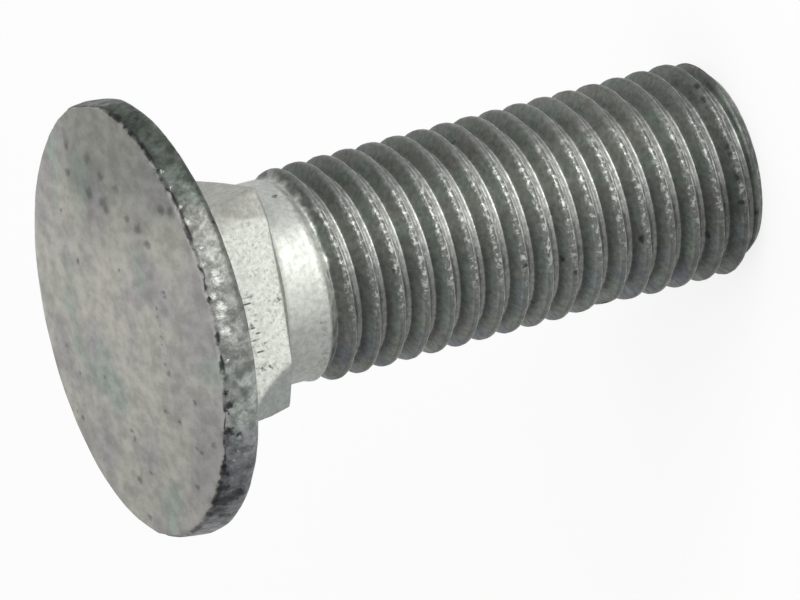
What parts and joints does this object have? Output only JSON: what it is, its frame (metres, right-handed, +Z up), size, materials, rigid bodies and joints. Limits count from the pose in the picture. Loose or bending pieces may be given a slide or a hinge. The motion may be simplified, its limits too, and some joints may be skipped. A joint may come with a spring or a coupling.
{
  "type": "carriage bolt",
  "caption": "Galvanised bolt with a low round head, a square neck under it and a coarse right-hand thread, for clamping plates and timbers without turning.",
  "frame": {"origin": "centre of the flat end face of the shank, on the surface that the bolt stands on", "axes": "+Z up the bolt's axis from the end to the head; X and Y square to the flats of the neck"},
  "size_m": [0.0324, 0.0324, 0.0491],
  "materials": {
    "zinc": "hot-dip galvanised, dull and mottled on the head, brighter on the neck, dark in the thread"
  },
  "bodies": {
    "root": {"bolt": "zinc"}
  },
  "joints": []
}
